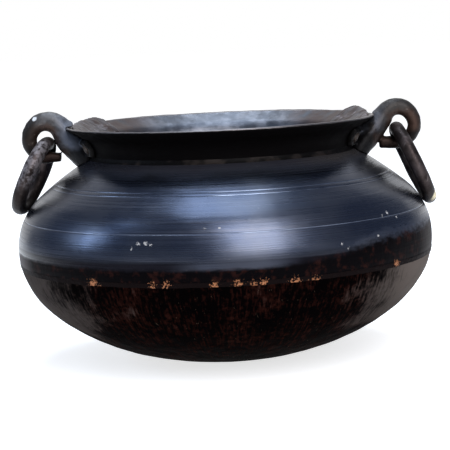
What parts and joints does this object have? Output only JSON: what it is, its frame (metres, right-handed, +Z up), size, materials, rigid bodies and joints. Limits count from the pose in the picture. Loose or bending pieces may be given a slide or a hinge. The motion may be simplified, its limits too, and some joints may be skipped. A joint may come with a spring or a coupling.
{
  "type": "cooking pot",
  "caption": "Squat round cooking pot of dark beaten metal with a turned shoulder, flared rim, hooked side lugs and loose hanging rings.",
  "frame": {"origin": "centre of the flat that the pot stands on", "axes": "+Z up the pot's axis; +X towards the lug that the picture shows on the right; -Y towards the viewer of the picture"},
  "size_m": [0.3937, 0.384, 0.2353],
  "materials": {
    "bowl_metal": "hammered, sooted dark brown patina",
    "shoulder_metal": "turned and burnished blue-black patina",
    "neck_metal": "dark patina, worn grey along the rim",
    "brazing_metal": "rough copper-coloured braze",
    "lug_metal": "forged, handled, dark grey-brown",
    "ring_metal": "forged, dark brown with worn tan patches",
    "plate_metal": "rough beaten, grey-purple patina",
    "rivet_metal": "peened, brown"
  },
  "bodies": {
    "pot": {"bowl": "bowl_metal", "belly_braze": "brazing_metal", "shoulder": "shoulder_metal", "neck_braze": "brazing_metal", "neck": "neck_metal", "right_backing_plate": "plate_metal", "left_backing_plate": "plate_metal", "right_lug": "lug_metal", "left_lug": "lug_metal", "right_rivets": "rivet_metal", "left_rivets": "rivet_metal"},
    "right_ring": {"right_ring": "ring_metal"},
    "left_ring": {"left_ring": "ring_metal"}
  },
  "joints": [
    {"name": "right_ring_swing", "type": "hinge", "parent": "pot", "child": "right_ring", "pos_m": [0.1633, 0, 0.20518], "axis": [0, -1, 0], "range_deg": [0, 196]},
    {"name": "left_ring_swing", "type": "hinge", "parent": "pot", "child": "left_ring", "pos_m": [-0.161, 0, 0.20588], "axis": [0, 1, 0], "range_deg": [0, 184]}
  ]
}
